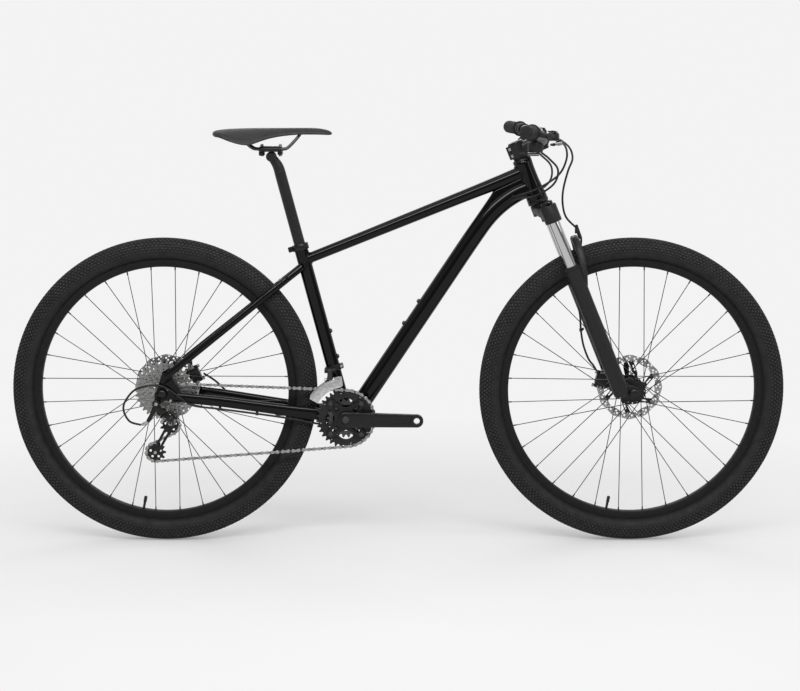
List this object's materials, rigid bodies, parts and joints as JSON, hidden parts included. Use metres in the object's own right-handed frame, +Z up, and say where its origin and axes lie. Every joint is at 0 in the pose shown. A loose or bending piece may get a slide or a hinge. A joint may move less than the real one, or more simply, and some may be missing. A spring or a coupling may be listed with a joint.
{
  "type": "mountain bike",
  "caption": "Hardtail mountain bike: sprung fork, disc brakes, double crank and derailleur gears, with turning wheels, steering, levers, sliding seatpost and tilting saddle.",
  "frame": {"origin": "on the ground midway between the two axles, in the bike's middle plane", "axes": "+X forward, +Y to the rider's left, +Z up; the drivetrain is on the -Y side"},
  "size_m": [1.868, 0.741, 1.0129],
  "materials": {
    "frame_paint": "gloss black paint",
    "black_alloy": "satin black anodised",
    "fork_paint": "matte black paint",
    "control_black": "fine moulded grain",
    "rim_black": "black anodised rim",
    "tyre": "matte black rubber",
    "spoke_black": "black steel",
    "rotor_steel": "brushed stainless",
    "drive_steel": "nickel-plated steel",
    "rubber": "soft black rubber",
    "saddle_cover": "synthetic leather",
    "pad_friction": "sintered friction material",
    "chrome": "polished chrome"
  },
  "bodies": {
    "frame": {"head_tube": "frame_paint", "top_tube": "frame_paint", "down_tube": "frame_paint", "seat_tube": "frame_paint", "chainstays": "frame_paint", "seatstays": "frame_paint", "dropouts": "black_alloy", "frame_bosses": "black_alloy", "bearing_cups": "black_alloy", "seat_clamp": "black_alloy", "rear_axle": "black_alloy", "rear_caliper": "control_black", "frame_cables": "rubber", "chain": "drive_steel", "fd_clamp": "black_alloy"},
    "fork": {"fork_crown": "fork_paint", "stem": "black_alloy", "handlebar": "black_alloy", "grips": "rubber", "brake_perches": "control_black", "shifter_pods": "control_black", "handlebar_cables": "rubber"},
    "fork_slider": {"fork_lowers": "fork_paint", "front_axle": "black_alloy", "front_caliper": "control_black", "front_hose": "rubber"},
    "front_wheel": {"front_tyre": "tyre", "front_rim": "rim_black", "front_spokes": "spoke_black", "front_hub": "black_alloy", "front_rotor": "rotor_steel"},
    "rear_wheel": {"rear_tyre": "tyre", "rear_rim": "rim_black", "rear_spokes": "spoke_black", "rear_hub": "black_alloy", "rear_rotor": "rotor_steel"},
    "crank": {"crank_arms": "black_alloy", "chainrings": "drive_steel"},
    "fork_knob": {"fork_knob": "control_black"},
    "front_pad": {"front_pad": "pad_friction"},
    "rear_pad": {"rear_pad": "pad_friction"},
    "cassette": {"cassette": "drive_steel"},
    "seatpost": {"seatpost": "black_alloy"},
    "saddle": {"saddle": "saddle_cover"},
    "brake_lever_left": {"brake_lever_left": "black_alloy"},
    "brake_lever_right": {"brake_lever_right": "black_alloy"},
    "shift_thumb_left": {"shift_thumb_left": "control_black"},
    "shift_thumb_right": {"shift_thumb_right": "control_black"},
    "shift_trigger_left": {"shift_trigger_left": "control_black"},
    "shift_trigger_right": {"shift_trigger_right": "control_black"},
    "fd_links": {"fd_links": "black_alloy"},
    "fd_cage": {"fd_cage": "drive_steel"},
    "rd_b_knuckle": {"rd_b_knuckle": "control_black"},
    "rd_links": {"rd_links": "black_alloy"},
    "rd_p_knuckle": {"rd_p_knuckle": "control_black"},
    "rd_cage": {"rd_cage": "control_black"},
    "guide_pulley": {"guide_pulley": "control_black"},
    "tension_pulley": {"tension_pulley": "control_black"},
    "front_qr_lever": {"front_qr_lever": "black_alloy"},
    "rear_qr_lever": {"rear_qr_lever": "black_alloy"}
  },
  "joints": [
    {"name": "steering", "type": "hinge", "parent": "frame", "child": "fork", "pos_m": [0.33763, 0, 0.81964], "axis": [-0.3746, 0, 0.9272], "range_deg": [-60, 60], "deforming": ["handlebar_cables"]},
    {"name": "fork_travel", "type": "slide", "parent": "fork", "child": "fork_slider", "axis": [-0.3746, 0, 0.9272], "range_m": [0, 0.1], "stiffness_N_per_m": 9000, "springref_m": -0.025},
    {"name": "fork_lockout", "type": "hinge", "parent": "fork", "child": "fork_knob", "pos_m": [0.35061, -0.062, 0.82488], "axis": [-0.3746, 0, 0.9272], "range_deg": [0, 90]},
    {"name": "front_wheel_spin", "type": "hinge", "parent": "fork_slider", "child": "front_wheel", "pos_m": [0.565, 0, 0.369], "axis": [0, 1, 0], "continuous": true},
    {"name": "rear_wheel_spin", "type": "hinge", "parent": "frame", "child": "rear_wheel", "pos_m": [-0.565, 0, 0.369], "axis": [0, 1, 0], "continuous": true},
    {"name": "crank_spin", "type": "hinge", "parent": "frame", "child": "crank", "pos_m": [-0.126, 0, 0.306], "axis": [0, 1, 0], "continuous": true, "deforming": ["chain"]},
    {"name": "cassette_spin", "type": "hinge", "parent": "frame", "child": "cassette", "pos_m": [-0.565, 0, 0.369], "axis": [0, 1, 0], "continuous": true},
    {"name": "seatpost_height", "type": "slide", "parent": "frame", "child": "seatpost", "axis": [-0.2588, 0, 0.9659], "range_m": [-0.1, 0.025]},
    {"name": "saddle_tilt", "type": "hinge", "parent": "seatpost", "child": "saddle", "pos_m": [-0.304, 0, 0.932], "axis": [0, 1, 0], "range_deg": [-10, 10]},
    {"name": "brake_lever_left_pull", "type": "hinge", "parent": "fork", "child": "brake_lever_left", "pos_m": [0.36716, 0.2182, 0.97117], "axis": [0.0034, -0.0207, 0.9998], "range_deg": [0, 18], "stiffness_Nm_per_rad": 1.5, "springref_deg": -11.46},
    {"name": "brake_lever_right_pull", "type": "hinge", "parent": "fork", "child": "brake_lever_right", "pos_m": [0.36716, -0.2182, 0.97117], "axis": [-0.0034, -0.0207, -0.9998], "range_deg": [0, 18], "stiffness_Nm_per_rad": 1.5, "springref_deg": -11.46},
    {"name": "front_pad_slide", "type": "slide", "parent": "fork_slider", "child": "front_pad", "axis": [0, -1, 0], "range_m": [0, 0.0003]},
    {"name": "rear_pad_slide", "type": "slide", "parent": "frame", "child": "rear_pad", "axis": [0, -1, 0], "range_m": [0, 0.0003]},
    {"name": "shift_thumb_left_push", "type": "hinge", "parent": "fork", "child": "shift_thumb_left", "pos_m": [0.31483, 0.20368, 0.94504], "axis": [0.0034, -0.0207, 0.9998], "range_deg": [0, 28], "stiffness_Nm_per_rad": 0.5, "springref_deg": -11.46},
    {"name": "shift_thumb_right_push", "type": "hinge", "parent": "fork", "child": "shift_thumb_right", "pos_m": [0.31483, -0.20368, 0.94504], "axis": [-0.0034, -0.0207, -0.9998], "range_deg": [0, 28], "stiffness_Nm_per_rad": 0.5, "springref_deg": -11.46},
    {"name": "shift_trigger_left_pull", "type": "hinge", "parent": "fork", "child": "shift_trigger_left", "pos_m": [0.31481, 0.20376, 0.94104], "axis": [-0.0034, 0.0207, -0.9998], "range_deg": [0, 12], "stiffness_Nm_per_rad": 0.5, "springref_deg": -11.46},
    {"name": "shift_trigger_right_pull", "type": "hinge", "parent": "fork", "child": "shift_trigger_right", "pos_m": [0.31481, -0.20376, 0.94104], "axis": [0.0034, 0.0207, 0.9998], "range_deg": [0, 12], "stiffness_Nm_per_rad": 0.5, "springref_deg": -11.46},
    {"name": "fd_link_swing", "type": "hinge", "parent": "frame", "child": "fd_links", "pos_m": [-0.165, -0.033, 0.419], "axis": [1, 0, 0], "range_deg": [0, 12]},
    {"name": "fd_cage_level", "type": "hinge", "parent": "fd_links", "child": "fd_cage", "pos_m": [-0.165, -0.05, 0.399], "axis": [1, 0, 0], "range_deg": [-12, 0]},
    {"name": "rd_b_pivot", "type": "hinge", "parent": "frame", "child": "rd_b_knuckle", "pos_m": [-0.578, -0.085, 0.346], "axis": [0, 1, 0], "range_deg": [0, 20], "stiffness_Nm_per_rad": 3, "springref_deg": -22.92, "deforming": ["frame_cables"]},
    {"name": "rd_link_swing", "type": "hinge", "parent": "rd_b_knuckle", "child": "rd_links", "pos_m": [-0.562, -0.084, 0.322], "axis": [0.7094, 0.4229, 0.5639], "range_deg": [0, 70]},
    {"name": "rd_p_level", "type": "hinge", "parent": "rd_links", "child": "rd_p_knuckle", "pos_m": [-0.54156, -0.10716, 0.31366], "axis": [0.7094, 0.4229, 0.5639], "range_deg": [-70, 0]},
    {"name": "rd_cage_swing", "type": "hinge", "parent": "rd_p_knuckle", "child": "rd_cage", "pos_m": [-0.543, -0.06, 0.302], "axis": [0, 1, 0], "range_deg": [-50, 10], "stiffness_Nm_per_rad": 1.5},
    {"name": "guide_pulley_spin", "type": "hinge", "parent": "rd_cage", "child": "guide_pulley", "pos_m": [-0.548, -0.054, 0.29], "axis": [0, 1, 0], "continuous": true},
    {"name": "tension_pulley_spin", "type": "hinge", "parent": "rd_cage", "child": "tension_pulley", "pos_m": [-0.585, -0.054, 0.224], "axis": [0, 1, 0], "continuous": true},
    {"name": "front_qr_flip", "type": "hinge", "parent": "fork_slider", "child": "front_qr_lever", "pos_m": [0.565, 0.0726, 0.369], "axis": [-1, 0, 0], "range_deg": [0, 180]},
    {"name": "rear_qr_flip", "type": "hinge", "parent": "frame", "child": "rear_qr_lever", "pos_m": [-0.565, 0.0862, 0.369], "axis": [-1, 0, 0], "range_deg": [0, 180]}
  ],
  "couplings": [
    {"joint": "cassette_spin", "follows": "crank_spin", "ratio": 3.0909},
    {"joint": "guide_pulley_spin", "follows": "crank_spin", "ratio": -3.0909},
    {"joint": "tension_pulley_spin", "follows": "crank_spin", "ratio": 3.0909},
    {"joint": "front_pad_slide", "follows": "brake_lever_left_pull", "m_per_rad": 0.00095},
    {"joint": "rear_pad_slide", "follows": "brake_lever_right_pull", "m_per_rad": 0.00095},
    {"joint": "fd_cage_level", "follows": "fd_link_swing", "ratio": -1},
    {"joint": "rd_p_level", "follows": "rd_link_swing", "ratio": -1}
  ]
}
